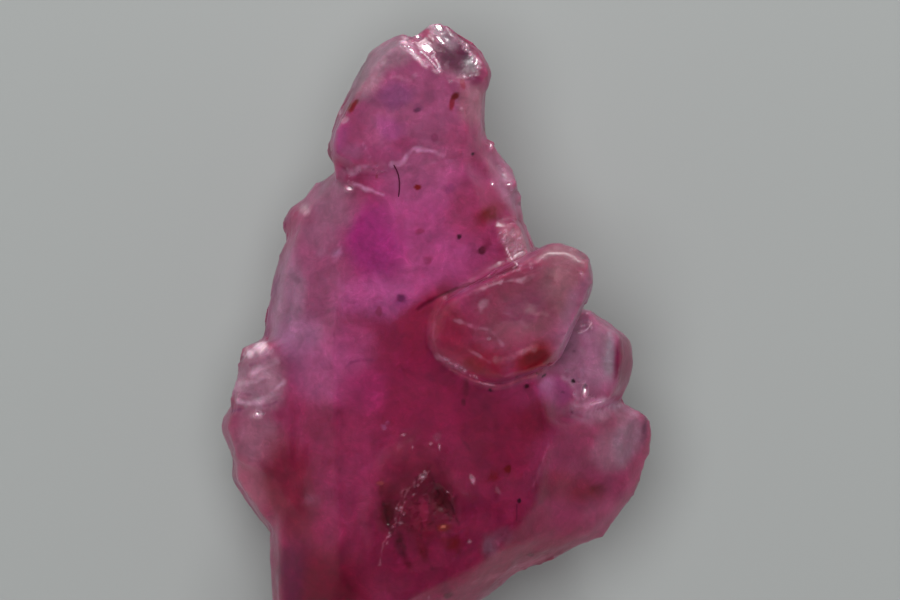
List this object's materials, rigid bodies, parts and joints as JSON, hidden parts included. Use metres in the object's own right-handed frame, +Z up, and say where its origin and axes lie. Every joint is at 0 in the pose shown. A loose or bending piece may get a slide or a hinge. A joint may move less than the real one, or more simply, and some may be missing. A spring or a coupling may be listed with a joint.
{
  "type": "raw ruby crystal",
  "caption": "Raw ruby specimen: a cluster of intergrown translucent pink-red corundum crystals, lying on its flat broken back.",
  "frame": {"origin": "on the flat parting face that the cluster rests on, under the centre of its box in plan", "axes": "+Y from the broken foot to the terminated head, +X across the cluster, +Z up, away from the surface it lies on"},
  "size_m": [0.0218, 0.0338, 0.0129],
  "materials": {
    "ruby": "gloss"
  },
  "bodies": {
    "root": {"ruby_crystal": "ruby"}
  },
  "joints": []
}
